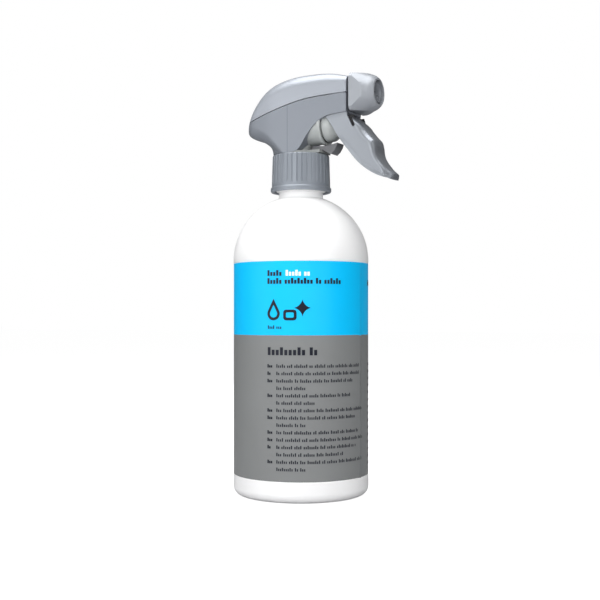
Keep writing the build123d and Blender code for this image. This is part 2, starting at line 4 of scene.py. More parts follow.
import bmesh
import bpy
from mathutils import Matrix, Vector


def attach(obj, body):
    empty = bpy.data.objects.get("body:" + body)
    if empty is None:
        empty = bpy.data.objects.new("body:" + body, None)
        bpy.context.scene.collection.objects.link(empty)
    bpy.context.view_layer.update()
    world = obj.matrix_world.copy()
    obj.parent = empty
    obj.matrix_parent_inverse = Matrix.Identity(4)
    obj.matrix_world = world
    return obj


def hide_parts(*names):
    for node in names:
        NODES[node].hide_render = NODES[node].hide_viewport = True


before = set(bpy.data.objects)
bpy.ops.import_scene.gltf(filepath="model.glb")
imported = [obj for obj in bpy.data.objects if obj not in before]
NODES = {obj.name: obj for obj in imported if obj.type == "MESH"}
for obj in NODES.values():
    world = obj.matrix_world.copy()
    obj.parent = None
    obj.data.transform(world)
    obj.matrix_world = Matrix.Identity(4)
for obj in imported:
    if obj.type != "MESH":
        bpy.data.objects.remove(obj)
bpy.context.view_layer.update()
MM = 0.001


# ---- materials ----------------------------------------------------------------------------------------
def linear(red, green, blue):
    """Linear colour from the usual 0-255 values."""
    def one(value):
        value /= 255
        return value / 12.92 if value <= 0.04045 else ((value + 0.055) / 1.055) ** 2.4
    return one(red), one(green), one(blue), 1.0


def shade(color, factor):
    """The colour made lighter or darker by a factor."""
    return tuple(min(1.0, c * factor) for c in color[:3]) + (1.0,)


# Numbers of the colour mix node's sockets, as its socket names are shared with other kinds of mix
MIX_FACTOR, MIX_A, MIX_B, MIX_RESULT = 0, 6, 7, 2
class Maker:
    """Node tree of one material, built node by node."""

    def __init__(self, name):
        self.material = bpy.data.materials.new(name)
        self.material.use_nodes = True
        self.tree = self.material.node_tree
        self.tree.nodes.clear()
        self.out = self.add("ShaderNodeOutputMaterial")
        self.shader = self.add("ShaderNodeBsdfPrincipled")
        self.link(self.shader, "BSDF", self.out, "Surface")
        self.place = self.add("ShaderNodeTexCoord")

    def add(self, kind, **values):
        node = self.tree.nodes.new(kind)
        for key, value in values.items():
            setattr(node, key, value)
        return node

    def link(self, a, out, b, into):
        self.tree.links.new(a.outputs[out], b.inputs[into])

    def noise(self, size_mm, detail=3.0, rough=0.5, stretch=(1, 1, 1), distortion=0.0):
        """Noise whose blobs are about size_mm across, drawn out along the axes by stretch."""
        scale = self.add("ShaderNodeMapping")
        self.link(self.place, "Object", scale, "Vector")
        scale.inputs["Scale"].default_value = tuple(1 / (size_mm * MM * s) for s in stretch)
        noise = self.add("ShaderNodeTexNoise")
        noise.inputs["Scale"].default_value = 1.0
        noise.inputs["Detail"].default_value = detail
        noise.inputs["Roughness"].default_value = rough
        noise.inputs["Distortion"].default_value = distortion
        self.link(scale, "Vector", noise, "Vector")
        return noise

    def ramp(self, source, out, stops, interpolation="LINEAR"):
        node = self.add("ShaderNodeValToRGB")
        node.color_ramp.interpolation = interpolation
        points = node.color_ramp.elements
        while len(points) < len(stops):
            points.new(0.5)
        for point, (where, value) in zip(points, stops):
            point.position = where
            point.color = value if isinstance(value, tuple) else (value, value, value, 1)
        self.link(source, out, node, "Fac")
        return node

    def mix(self, factor, a, b, blend="MIX"):
        """Colour mix; a and b are (node, output) or colours, factor a (node, output) or a number."""
        node = self.add("ShaderNodeMix", data_type="RGBA", blend_type=blend)
        for value, socket in ((factor, MIX_FACTOR), (a, MIX_A), (b, MIX_B)):
            if isinstance(value, tuple) and len(value) == 2:
                self.tree.links.new(value[0].outputs[value[1]], node.inputs[socket])
            else:
                node.inputs[socket].default_value = value
        return node

    def bump(self, source, out, height_mm, after=None):
        node = self.add("ShaderNodeBump")
        node.inputs["Strength"].default_value = 1.0
        node.inputs["Distance"].default_value = height_mm * MM
        self.link(source, out, node, "Height")
        if after:
            self.link(after, "Normal", node, "Normal")
        return node

    def values(self, **numbers):
        for key, value in numbers.items():
            self.shader.inputs[key.replace("_", " ")].default_value = value


# Marks on moulded plastic: how large their noise is and how high they stand, in mm
FLOW, SPECK, SMEAR, WAVE, GRAIN, SCRATCH = 26, 0.9, 9, 14, 0.3, 0.5
SCRATCH_STRETCH = (22, 22, 1)
WAVE_HEIGHT, SCRATCH_HEIGHT = 0.015, -0.002
# Half width in mm and tone of a line of painted shade, where a crease would shade the side of a moulding
CREASE_SHADE_HALF, CREASE_SHADE_TONE = 0.22, 0.72


def plastic(name, color, rough, spread=0.06, tint=0.03, grain=0.004, scuffs=0.08, crease_shade_x=None, **numbers):
    """Moulded plastic with flow shading, fine grain, smears and rubbed scratches.

    The roughness wanders by spread about rough, and the colour by the share tint. The grain's height
    and crease_shade_x, the place of a faint line of painted shade standing for a crease's shading,
    are in mm, and scuffs is what scratches add to the roughness.
    """
    m = Maker(name)
    flow = m.noise(FLOW, detail=3)
    speck = m.noise(SPECK, detail=3)
    tones = m.ramp(flow, "Fac", ((0.3, shade(color, 1 - tint)), (0.7, shade(color, 1 + tint))))
    dust = m.ramp(speck, "Fac", ((0.62, 0.0), (0.8, tint * 0.8)))
    mixed = m.mix((dust, "Color"), (tones, "Color"), shade(color, 1.06))
    # Painted shade: a darker line across the surface at crease_shade_x, in place of a crease's shading
    if crease_shade_x is not None:
        split = m.add("ShaderNodeSeparateXYZ")
        m.link(m.place, "Object", split, "Vector")
        on_crease_shade = m.add("ShaderNodeMath", operation="COMPARE")
        on_crease_shade.inputs[1].default_value = crease_shade_x * MM
        on_crease_shade.inputs[2].default_value = CREASE_SHADE_HALF * MM
        m.link(split, "X", on_crease_shade, 0)
        mixed = m.mix((on_crease_shade, "Value"), (mixed, MIX_RESULT), shade(color, CREASE_SHADE_TONE))
    m.link(mixed, MIX_RESULT, m.shader, "Base Color")
    smear = m.noise(SMEAR, detail=2)
    scratch = m.noise(SCRATCH, detail=2, stretch=SCRATCH_STRETCH)
    base = m.ramp(smear, "Fac", ((0.3, max(0.02, rough - spread)), (0.72, rough + spread)))
    lines = m.ramp(scratch, "Fac", ((0.78, 0.0), (0.86, scuffs)))
    total = m.mix(1.0, (base, "Color"), (lines, "Color"), blend="ADD")
    m.link(total, MIX_RESULT, m.shader, "Roughness")
    fine = m.noise(GRAIN, detail=2)
    wave = m.bump(m.noise(WAVE, detail=2), "Fac", WAVE_HEIGHT)
    marks = m.bump(lines, "Color", SCRATCH_HEIGHT, after=wave) if scuffs else wave
    m.link(m.bump(fine, "Fac", grain, after=marks), "Normal", m.shader, "Normal")
    m.values(**numbers)
    return m.material


def rubber(name, color):
    m = Maker(name)
    tones = m.ramp(m.noise(3, detail=5), "Fac", ((0.3, shade(color, 0.8)), (0.75, shade(color, 1.5))))
    m.link(tones, "Color", m.shader, "Base Color")
    rough = m.ramp(m.noise(5, detail=3), "Fac", ((0.3, 0.42), (0.7, 0.68)))
    m.link(rough, "Color", m.shader, "Roughness")
    m.link(m.bump(m.noise(0.25, detail=2), "Fac", 0.01), "Normal", m.shader, "Normal")
    return m.material


def steel(name):
    m = Maker(name)
    drawn = m.noise(0.4, detail=3, stretch=(6, 6, 1))
    tones = m.ramp(drawn, "Fac", ((0.3, (0.42, 0.43, 0.44, 1)), (0.7, (0.66, 0.66, 0.65, 1))))
    m.link(tones, "Color", m.shader, "Base Color")
    rough = m.ramp(m.noise(2, detail=4), "Fac", ((0.3, 0.16), (0.75, 0.34)))
    m.link(rough, "Color", m.shader, "Roughness")
    m.link(m.bump(drawn, "Fac", 0.004), "Normal", m.shader, "Normal")
    m.values(Metallic=1.0)
    return m.material


FOAM_CELLS = 2500            # cells to the metre


def foam(name, color):
    m = Maker(name)
    cells = m.add("ShaderNodeTexVoronoi")
    scale = m.add("ShaderNodeMapping")
    m.link(m.place, "Object", scale, "Vector")
    scale.inputs["Scale"].default_value = (FOAM_CELLS,) * 3
    m.link(scale, "Vector", cells, "Vector")
    tones = m.ramp(cells, "Distance", ((0.0, shade(color, 0.7)), (0.6, color)))
    m.link(tones, "Color", m.shader, "Base Color")
    m.link(m.bump(cells, "Distance", 0.06), "Normal", m.shader, "Normal")
    m.values(Roughness=0.9)
    return m.material


def ink(name, color):
    m = Maker(name)
    tones = m.ramp(m.noise(0.4, detail=3), "Fac", ((0.3, shade(color, 0.8)), (0.7, shade(color, 1.15))))
    m.link(tones, "Color", m.shader, "Base Color")
    rough = m.ramp(m.noise(4, detail=2), "Fac", ((0.3, 0.34), (0.7, 0.48)))
    m.link(rough, "Color", m.shader, "Roughness")
    return m.material


MATERIALS = {
    "bottle_plastic": plastic(
        "bottle_white", linear(250, 250, 250), 0.38, tint=0.012,
        Subsurface_Weight=0.25, Subsurface_Scale=0.008, Subsurface_Radius=(1, 1, 1), Coat_Weight=0.05,
    ),
    "collar_plastic": plastic(
        "collar_grey", linear(136, 142, 150), 0.32, spread=0.02, tint=0.02, scuffs=0.0, Metallic=0.3,
    ),
    "shroud_plastic": plastic(
        "shroud_silver", linear(165, 170, 178), 0.34, spread=0.02, tint=0.015, scuffs=0.02, Metallic=0.35,
    ),
    "trigger_plastic": plastic(
        "trigger_silver", linear(166, 171, 178), 0.34, spread=0.02, tint=0.01, scuffs=0.01, Metallic=0.8,
    ),
    "nozzle_plastic": plastic(
        "nozzle_silver", linear(158, 162, 168), 0.36, spread=0.02, tint=0.015, scuffs=0.02, Metallic=0.3,
    ),
    "cylinder_plastic": plastic("cylinder_cloudy", linear(170, 174, 173), 0.32, tint=0.04),
    # Painted shade: whitish natural polypropylene given a grey for the shade between collar and housing
    "natural_plastic": plastic("natural_polypropylene_shaded", linear(140, 143, 142), 0.42, tint=0.05),
    "tube_plastic": plastic("tube_milky", linear(226, 228, 226), 0.3),
    # The stop's own grey plastic, made darker as painted shade for the shadow it sits in under the cylinder
    "stop_plastic": plastic("stop_grey_painted_shade", linear(100, 101, 104), 0.42, tint=0.08),
    "valve_steel": steel("ball_steel"),
    "spring_steel": steel("spring_wire_steel"),
    "seal_rubber": rubber("seal_black", linear(34, 34, 36)),
    "gasket_foam": foam("gasket_foam_white", linear(226, 226, 220)),
}
# Painted shade: the housing is the cover's silver made darker for the light it turns away from, with a
# painted shade line at x = -3 mm
SHADED_HOUSING = plastic(
    "housing_silver_shaded", linear(138, 143, 151), 0.38, spread=0.02, tint=0.015, scuffs=0.02, crease_shade_x=-3.0,
    Metallic=0.35,
)
# Painted shade: the insert is a darker grey than the nozzle it belongs to, for the shade in the nozzle's
# recess
SHADED_INSERT = plastic("insert_grey_shaded", linear(132, 136, 142), 0.28, Metallic=0.5)
LABEL_BLUE = plastic(
    "label_print_blue", linear(0, 188, 246), 0.45, spread=0.05, tint=0.015, grain=0.001, scuffs=0.06,
    Specular_IOR_Level=0.2,
)
LABEL_GREY = plastic(
    "label_print_grey", linear(124, 126, 126), 0.4, spread=0.05, tint=0.02, grain=0.001, scuffs=0.06,
    Specular_IOR_Level=0.3,
)
INK_DARK = ink("ink_dark", linear(16, 20, 34))
INK_WHITE = ink("ink_white", linear(240, 250, 255))

SLOT_OF = {
    "bottle": "bottle_plastic", "collar": "collar_plastic", "gasket": "gasket_foam",
    "tube_retainer": "natural_plastic", "dip_tube": "tube_plastic", "tube_filter": "natural_plastic",
    "inlet_ball": "valve_steel", "pump_body": "natural_plastic", "pump_cylinder": "cylinder_plastic",
    "piston": "cylinder_plastic", "piston_seal": "seal_rubber", "return_spring": "spring_steel",
    "trigger_stop": "stop_plastic", "trigger": "trigger_plastic", "outlet_valve": "natural_plastic",
    "spinner": "natural_plastic", "nozzle_seal": "seal_rubber", "nozzle_cap": "nozzle_plastic",
    "nozzle_insert": "nozzle_plastic", "shroud_cover": "shroud_plastic", "shroud_housing": "shroud_plastic",
}

CAD_WELD, CAD_EDGE_ANGLE = 0.002, 32     # mm and degrees


def finish_node(node, material):
    """Gives a CAD node its material, and smooth shading up to its real edges."""
    piece = NODES[node]
    if not piece.material_slots:
        piece.data.materials.append(material)
    for slot in piece.material_slots:
        slot.material = material
    weld = piece.modifiers.new("joined", "WELD")
    weld.merge_threshold = CAD_WELD * MM
    split = piece.modifiers.new("edges", "EDGE_SPLIT")
    split.split_angle = math.radians(CAD_EDGE_ANGLE)
    piece.modifiers.new("shading", "WEIGHTED_NORMAL")


for node, slot_name in SLOT_OF.items():
    finish_node(node, MATERIALS[slot_name])


# ---- label --------------------------------------------------------------------------------------------
def piece_from(name, points, faces, materials, body, face_materials=None, smooth=True):
    """Mesh piece from points in millimetres, riding on a body."""
    mesh = bpy.data.meshes.new(name)
    mesh.from_pydata([Vector(p) * MM for p in points], [], faces)
    for material in materials:
        mesh.materials.append(material)
    if face_materials:
        mesh.polygons.foreach_set("material_index", face_materials)
    mesh.polygons.foreach_set("use_smooth", [smooth] * len(mesh.polygons))
    mesh.update()
    piece = bpy.data.objects.new(name, mesh)
    bpy.context.collection.objects.link(piece)
    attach(piece, body)
    return piece


BOTTLE_R, FILM_R, FILM_THICK, INK_R = 36.0, 35.93, 0.07, 35.975
LABEL_LOW, LABEL_SPLIT, LABEL_HIGH = 11.35, 85.0, 122.45
LABEL_EDGE = 0.25            # height of the row of faces along each edge of the film
LABEL_STEPS = 240            # steps round the bottle
SEAM_ANGLE = -2.0            # the film's outer end, in degrees from +X
OVERLAP, OVERLAP_RUN = 5.0, 1.5          # degrees of film under the outer end, and its rise before them
OVERLAP_RISE, OVERLAP_DROP = 0.045, 0.35     # how far the outer end stands out, and how low it sits
BLUE, GREY = 0, 1            # the film's materials


def make_label():
    """Film wound once round the bottle, its last millimetres lying over its first."""
    low_band, high_band = LABEL_LOW + LABEL_EDGE, LABEL_HIGH - LABEL_EDGE
    rows = [LABEL_LOW, low_band, 30, 50, 70, LABEL_SPLIT, 100, 112, high_band, LABEL_HIGH]
    colours = [BLUE if z >= LABEL_SPLIT else GREY for z in rows]
    count, last = LABEL_STEPS + 1, len(rows) - 1
    points, faces, which = [], [], []
    for skin in (0, 1):
        for n in range(count):
            along = n / LABEL_STEPS
            angle = math.radians(SEAM_ANGLE - (360 + OVERLAP) * (1 - along))
            lift = max(0.0, (along * (360 + OVERLAP) - 360 + OVERLAP_RUN) / (OVERLAP + OVERLAP_RUN))
            radius = FILM_R - OVERLAP_RISE + OVERLAP_RISE * min(1.0, 3 * lift) - skin * FILM_THICK * 0.5
            slip = OVERLAP_DROP * lift
            for z in rows:
                points.append((radius * math.cos(angle), radius * math.sin(angle), z - slip))
    def at(skin, n, row):
        return (skin * count + n) * len(rows) + row
    for n in range(LABEL_STEPS):
        for row in range(last):
            faces.append((at(0, n, row), at(0, n + 1, row), at(0, n + 1, row + 1), at(0, n, row + 1)))
            faces.append((at(1, n, row), at(1, n, row + 1), at(1, n + 1, row + 1), at(1, n + 1, row)))
            which += [colours[row]] * 2
        faces.append((at(0, n, 0), at(1, n, 0), at(1, n + 1, 0), at(0, n + 1, 0)))
        faces.append((at(0, n, last), at(0, n + 1, last), at(1, n + 1, last), at(1, n, last)))
        which += [GREY, BLUE]
    end = LABEL_STEPS
    for row in range(last):
        faces.append((at(0, end, row), at(1, end, row), at(1, end, row + 1), at(0, end, row + 1)))
        faces.append((at(0, 0, row), at(0, 0, row + 1), at(1, 0, row + 1), at(1, 0, row)))
        which += [colours[row]] * 2
    film = piece_from("label_film", points, faces, [LABEL_BLUE, LABEL_GREY], "bottle", which)
    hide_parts("label")


MARGIN_ANGLE = -90.3         # left margin of the print, in degrees from +X
PATCH_WIDTH = 0.9            # widest flat patch of print round the bottle
WORD_LENGTHS = (5, 3, 7, 2, 6, 4, 8, 3, 5, 9, 2, 6)
LETTER_RISES = (1.0, 0.68, 0.68, 1.0, 0.68, 0.68, 0.68, 1.0, 0.68, 1.0, 0.68)
LETTER_PITCH, WORD_GAP = 0.56, 0.75      # as shares of the letters' height and of the pitch


class Print:
    """Flat shapes printed on the label; s runs round the bottle from the left margin, both in mm."""

    def __init__(self):
        self.points, self.faces = [], []

    def span(self, low, high, edges_low, edges_high):
        """Patch between two heights, from left to right edge at each."""
        width = max(edges_low[1] - edges_low[0], edges_high[1] - edges_high[0])
        columns = max(1, math.ceil(width / PATCH_WIDTH))
        first = len(self.points)
        for z, (left, right) in ((low, edges_low), (high, edges_high)):
            for n in range(columns + 1):
                angle = math.radians(MARGIN_ANGLE) + (left + (right - left) * n / columns) / BOTTLE_R
                self.points.append((INK_R * math.cos(angle), INK_R * math.sin(angle), z))
        for n in range(columns):
            self.faces.append((first + n, first + n + 1, first + columns + n + 2, first + columns + n + 1))

    def bar(self, left, right, low, high):
        self.span(low, high, (left, right), (left, right))

    def shape(self, low, high, edges, step=0.2):
        """Shape whose left and right edges are a function of height."""
        rows = max(2, math.ceil((high - low) / step))
        heights = [low + (high - low) * n / rows for n in range(rows + 1)]
        for a, b in zip(heights, heights[1:]):
            self.span(a, b, edges(a), edges(b))

    def outlined(self, low, high, outer, hollow_low, hollow_high, inner):
        """Shape with a hollow: its foot, its top and the two sides between them."""
        self.shape(low, hollow_low, outer)
        self.shape(hollow_high, high, outer)
        self.shape(hollow_low, hollow_high, lambda z: (outer(z)[0], inner(z)[0]))
        self.shape(hollow_low, hollow_high, lambda z: (inner(z)[1], outer(z)[1]))

    def words(self, left, right, base, tall, weight=0.6):
        """Line of plain blocks in word-like groups, standing for text without saying anything."""
        pitch = tall * LETTER_PITCH
        s, word, letter = left, int(base * 7) % len(WORD_LENGTHS), 0
        while s < right - pitch:
            for _ in range(WORD_LENGTHS[word % len(WORD_LENGTHS)]):
                if s > right - pitch * 0.7:
                    break
                rise = LETTER_RISES[letter % len(LETTER_RISES)]
                self.bar(s, s + pitch * weight, base, base + tall * rise)
                s += pitch
                letter += 1
            s += pitch * WORD_GAP
            word += 1

    def done(self, name, material):
        printed = piece_from(name, self.points, self.faces, [material], "bottle")


def droplet(middle, centre, radius, tip):
    """Edges of a drop: a round bottom that closes to a point at the top."""
    reach = tip - centre
    touch = radius * radius / reach
    side = radius * math.sqrt(1 - (radius / reach) ** 2)
    def edges(z):
        rise = z - centre
        if rise < touch:
            half = math.sqrt(max(0.0, radius * radius - rise * rise))
        else:
            half = side * (tip - z) / (tip - centre - touch)
        return middle - half, middle + half
    return edges


def star(middle, centre, reach, power=0.62):
    """Edges of a sparkle with four points and hollow sides."""
    def edges(z):
        rise = min(reach, abs(z - centre))
        half = max(0.0, reach ** power - rise ** power) ** (1 / power)
        return middle - half, middle + half
    return edges


def rounded(left, right, low, high, corner):
    """Edges of a rectangle with round corners."""
    def edges(z):
        rise = max(0.0, max(low + corner - z, z - (high - corner)))
        lost = corner - math.sqrt(max(0.0, corner * corner - rise * rise))
        return left + lost, right - lost
    return edges


HEADING_TALL, HEADING_WEIGHT = 2.9, 0.72
HEADING_BASE, SUBHEADING_BASE = 114.9, 110.9
SYMBOL_FOOT, SYMBOL_TOP, HOLLOW_FOOT = 92.5, 103.4, 93.9
DROP_S, DROP_Z, DROP_R, DROP_HOLLOW_R, DROP_HOLLOW_TOP = 3.4, 95.9, 3.4, 2.0, 100.4
BLOCK_TOP, BLOCK_HOLLOW_TOP = 97.9, 96.5
STAR_S, STAR_Z, STAR_R = 18.4, 98.8, 4.6
TEXT_BASE, TEXT_PITCH, TEXT_TALL = 68.7, 3.707, 1.75     # first row of small text, and rows apart
TEXT_LEFT, MARK_RIGHT = 5.0, 2.9
TEXT_ENDS = (53.3, 53.4, 47.8, 20.4, 45.7, 25.0, 56.6, 49.5, 19.9, 52.6, 57.0, 50.1, 41.0, 56.2, 20.1)
MARKED_ROWS = (0, 1, 2, 4, 6, 7, 9, 10, 11, 13)          # rows that start with a short mark
SIDE_LEFT, SIDE_TALL, SIDE_ENDS = 65.0, 1.5, (104.0, 99.0, 101.0, 84.0)


def print_symbols(dark):
    """A drop, a block and a sparkle."""
    drop = droplet(DROP_S, DROP_Z, DROP_R, SYMBOL_TOP)
    drop_hollow = droplet(DROP_S, DROP_Z, DROP_HOLLOW_R, DROP_HOLLOW_TOP)
    dark.outlined(SYMBOL_FOOT, SYMBOL_TOP, drop, HOLLOW_FOOT, DROP_HOLLOW_TOP, drop_hollow)
    block = rounded(8.6, 15.4, SYMBOL_FOOT, BLOCK_TOP, 1.5)
    block_hollow = rounded(10.0, 14.0, HOLLOW_FOOT, BLOCK_HOLLOW_TOP, 0.5)
    dark.outlined(SYMBOL_FOOT, BLOCK_TOP, block, HOLLOW_FOOT, BLOCK_HOLLOW_TOP, block_hollow)
    dark.shape(STAR_Z - STAR_R, STAR_Z + STAR_R, star(STAR_S, STAR_Z, STAR_R), 0.12)


def make_print():
    dark, white = Print(), Print()
    dark.words(0.0, 9.2, HEADING_BASE, HEADING_TALL, HEADING_WEIGHT)
    white.words(9.9, 22.5, HEADING_BASE, HEADING_TALL, HEADING_WEIGHT)
    dark.words(0.0, 38.9, SUBHEADING_BASE, HEADING_TALL, HEADING_WEIGHT)
    print_symbols(dark)
    dark.words(0.2, 8.5, 88.2, 1.8)
    dark.words(0.2, 28.5, 75.0, 4.0, 0.7)
    for n, end in enumerate(TEXT_ENDS):
        base = TEXT_BASE - TEXT_PITCH * n
        dark.words(TEXT_LEFT, end, base, TEXT_TALL)
        if n in MARKED_ROWS:
            dark.words(0.0, MARK_RIGHT, base, TEXT_TALL, 0.8)
    for n in range(len(TEXT_ENDS)):
        dark.words(SIDE_LEFT, SIDE_ENDS[n % len(SIDE_ENDS)], TEXT_BASE - TEXT_PITCH * n, SIDE_TALL)
    dark.words(SIDE_LEFT, 92.0, SUBHEADING_BASE, HEADING_TALL, HEADING_WEIGHT)
    dark.done("label_ink_dark", INK_DARK)
    white.done("label_ink_white", INK_WHITE)


# ---- curves and solids for the moulded shells ----------------------------------------------------------
def smooth_rows(rows, step):
    """Rows between the given ones, on smooth curves, about step apart in their first value."""
    out = []
    for n in range(len(rows) - 1):
        start, end = rows[n], rows[n + 1]
        span = end[0] - start[0]
        before, after = rows[max(n - 1, 0)], rows[min(n + 2, len(rows) - 1)]
        count = max(1, round(span / step))
        for k in range(count):
            t = k / count
            row = [start[0] + span * t]
            for i in range(1, len(start)):
                a = (end[i] - before[i]) / (end[0] - before[0]) * span
                b = (after[i] - start[i]) / (after[0] - start[0]) * span
                row.append(
                    (2 * t**3 - 3 * t**2 + 1) * start[i] + (t**3 - 2 * t**2 + t) * a
                    + (3 * t**2 - 2 * t**3) * end[i] + (t**3 - t**2) * b
                )
            out.append(row)
    out.append(list(rows[-1]))
    return out


def curve_through(points, count):
    """Points along a smooth curve through the given ones, evenly spread over its pieces."""
    out = []
    pieces = len(points) - 1
    for k in range(count):
        where = k / (count - 1) * pieces
        n = min(int(where), pieces - 1)
        t = where - n
        p0, p1, p2, p3 = (Vector(points[min(max(i, 0), pieces)]) for i in (n - 1, n, n + 1, n + 2))
        out.append(0.5 * (2 * p1 + (p2 - p0) * t + (2 * p0 - 5 * p1 + 4 * p2 - p3) * t * t
                          + (3 * p1 - p0 - 3 * p2 + p3) * t ** 3))
    return out


def ring_section(low, high, half, corner, count=96):
    """Points (y, z) round a rectangle with round corners."""
    tall, middle = (high - low) / 2, (high + low) / 2
    corner = min(corner, 0.95 * min(half, tall))
    path, per = [], count // 4
    for k, (side, up) in enumerate(((1, -1), (1, 1), (-1, 1), (-1, -1))):
        for n in range(per):
            angle = math.radians((k - 1) * 90 + 90 * n / (per - 1))
            path.append((side * (half - corner) + corner * math.cos(angle),
                         middle + up * (tall - corner) + corner * math.sin(angle)))
    return path


def tube_faces(rows, around, capped=True):
    """Faces of a skin made of rows of points, each row going round once."""
    faces = []
    for r in range(rows - 1):
        for n in range(around):
            m = (n + 1) % around
            faces.append((r * around + n, r * around + m, (r + 1) * around + m, (r + 1) * around + n))
    if capped:
        faces.append(tuple(reversed(range(around))))
        faces.append(tuple(range((rows - 1) * around, rows * around)))
    return faces


def scratch_object(name, points, faces):
    """Object from points in millimetres, with its faces turned outwards."""
    mesh = bpy.data.meshes.new(name)
    mesh.from_pydata([Vector(p) * MM for p in points], [], faces)
    mesh.update()
    shape = bmesh.new()
    shape.from_mesh(mesh)
    bmesh.ops.recalc_face_normals(shape, faces=shape.faces)
    shape.to_mesh(mesh)
    shape.free()
    piece = bpy.data.objects.new(name, mesh)
    bpy.context.collection.objects.link(piece)
    return piece


def side_cutter(name, outline, half):
    """Prism across the object from an outline of (x, z)."""
    count = len(outline)
    points = [(x, -half, z) for x, z in outline] + [(x, half, z) for x, z in outline]
    faces = [tuple(range(count)), tuple(reversed(range(count, 2 * count)))]
    faces += [(n, n + count, (n + 1) % count + count, (n + 1) % count) for n in range(count)]
    return scratch_object(name, points, faces)


def baked(piece):
    """Mesh of a piece with its modifiers applied; the piece keeps it and loses the modifiers."""
    graph = bpy.context.evaluated_depsgraph_get()
    mesh = bpy.data.meshes.new_from_object(piece.evaluated_get(graph))
    piece.modifiers.clear()
    piece.data = mesh
    return piece


def copy_of(piece, name):
    twin = piece.copy()
    twin.data = piece.data.copy()
    twin.name = name
    bpy.context.collection.objects.link(twin)
    return twin


def cut(piece, cutter, operation="DIFFERENCE"):
    change = piece.modifiers.new("cut", "BOOLEAN")
    change.operation, change.object, change.solver = operation, cutter, "EXACT"
    return baked(piece)


def removed(*pieces):
    for piece in pieces:
        bpy.data.objects.remove(piece, do_unlink=True)


def finished(piece, material, body, slot_name, *nodes, angle=38):
    """Gives a new piece its material, its smooth shading and its body, and hides the CAD nodes it stands for.
    """
    piece.data.materials.clear()
    piece.data.materials.append(material)
    piece.data.polygons.foreach_set("material_index", [0] * len(piece.data.polygons))
    piece.data.polygons.foreach_set("use_smooth", [True] * len(piece.data.polygons))
    piece.data.set_sharp_from_angle(angle=math.radians(angle))
    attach(piece, body)
    if nodes:
        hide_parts(*nodes)
    return piece


# ---- shroud -------------------------------------------------------------------------------------------
# Casing from the tail to the open front: x, lowest z, highest z, half width, corner radius
CASING = [
    (-31.9, 192.9, 196.7, 2.4, 1.8), (-31.1, 192.0, 199.4, 4.8, 3.2), (-29.2, 190.6, 203.8, 7.2, 5.8),
    (-26.2, 189.2, 209.0, 9.0, 7.5), (-20.5, 187.0, 215.6, 10.2, 8.4), (-13.5, 181.8, 219.9, 11.0, 8.6),
    (-3.0, 171.0, 222.7, 11.2, 8.6), (8.0, 165.0, 223.3, 11.1, 8.2), (20.0, 165.0, 222.7, 10.8, 7.2),
    (31.5, 165.0, 219.9, 10.5, 5.0), (34.5, 165.0, 219.1, 10.4, 4.8),
]
# Neck of the casing from below the rim up: z, centre x, half length, half width
CASING_NECK = [
    (177.0, -0.5, 16.4, 11.25), (181.3, -0.6, 16.5, 11.25), (184.4, -0.9, 17.0, 11.2),
    (187.0, -2.0, 18.2, 11.0), (189.5, -3.4, 19.8, 10.2),
]
CASING_FRONT, INNER_FRONT, CASING_WALL, SEAM_GAP = 30.9, 33.4, 1.2, 0.45
CASING_GRAIN, CASING_SOFTENING = 0.42, 14    # mesh size of the joined skin, and its smoothing passes
SEAM = [(-50, 197.5), (-32, 198.9), (-25, 200.2), (-14, 203.5), (4, 208.0), (20, 209.5), (50, 210.4)]
RIM = [
    (0.0, 181.3), (2.8, 182.3), (5.2, 184.9), (8.0, 189.2), (12.4, 194.3), (18.4, 198.3), (26.0, 199.6),
    (34.0, 199.9),
]
# How far the cutting blocks reach past the casing
AHEAD, BEHIND, BELOW, ABOVE, ASIDE = 60, -50, 150, 240, 30
SEAM_BLOCK_TOP, RIM_BLOCK_FRONT = 250, 40


def casing_body():
    """Tail, body and neck of the casing run together into one skin."""
    rows = smooth_rows(CASING, 0.7)
    points, around = [], 96
    for x, low, high, half, corner in rows:
        points += [(x, y, z) for y, z in ring_section(low, high, half, corner, around)]
    faces = tube_faces(len(rows), around)
    neck, first = smooth_rows(CASING_NECK, 0.7), len(points)
    for z, middle, length, width in neck:
        for n in range(around):
            angle = 2 * math.pi * n / around
            points.append((middle + length * math.cos(angle), width * math.sin(angle), z))
    faces += [tuple(i + first for i in face) for face in tube_faces(len(neck), around)]
    body = scratch_object("casing", points, faces)
    skin = body.modifiers.new("skin", "REMESH")
    skin.mode, skin.voxel_size = "VOXEL", CASING_GRAIN * MM
    soft = body.modifiers.new("soft", "SMOOTH")
    soft.factor, soft.iterations = 0.5, CASING_SOFTENING
    return baked(body)
def front_block(name, x):
    """Block that takes away all that lies ahead of x."""
    return side_cutter(name, [(x, BELOW), (AHEAD, BELOW), (AHEAD, ABOVE), (x, ABOVE)], ASIDE)


def seam_block(shift):
    """Block above the seam, raised by shift."""
    line = [tuple(p) for p in curve_through(SEAM, 90)]
    top = [(SEAM[-1][0], SEAM_BLOCK_TOP), (SEAM[0][0], SEAM_BLOCK_TOP)]
    return side_cutter("seam_cut", [(x, z + shift) for x, z in line] + top, ASIDE)


def rim_block():
    """Block below the rim over the trigger."""
    rim = [tuple(p) for p in curve_through(RIM, 60)]
    back = [(BEHIND, BELOW), (BEHIND, RIM[0][1])]
    front = [(RIM_BLOCK_FRONT, RIM[-1][1]), (RIM_BLOCK_FRONT, BELOW)]
    return side_cutter("rim_cut", back + rim + front, ASIDE)


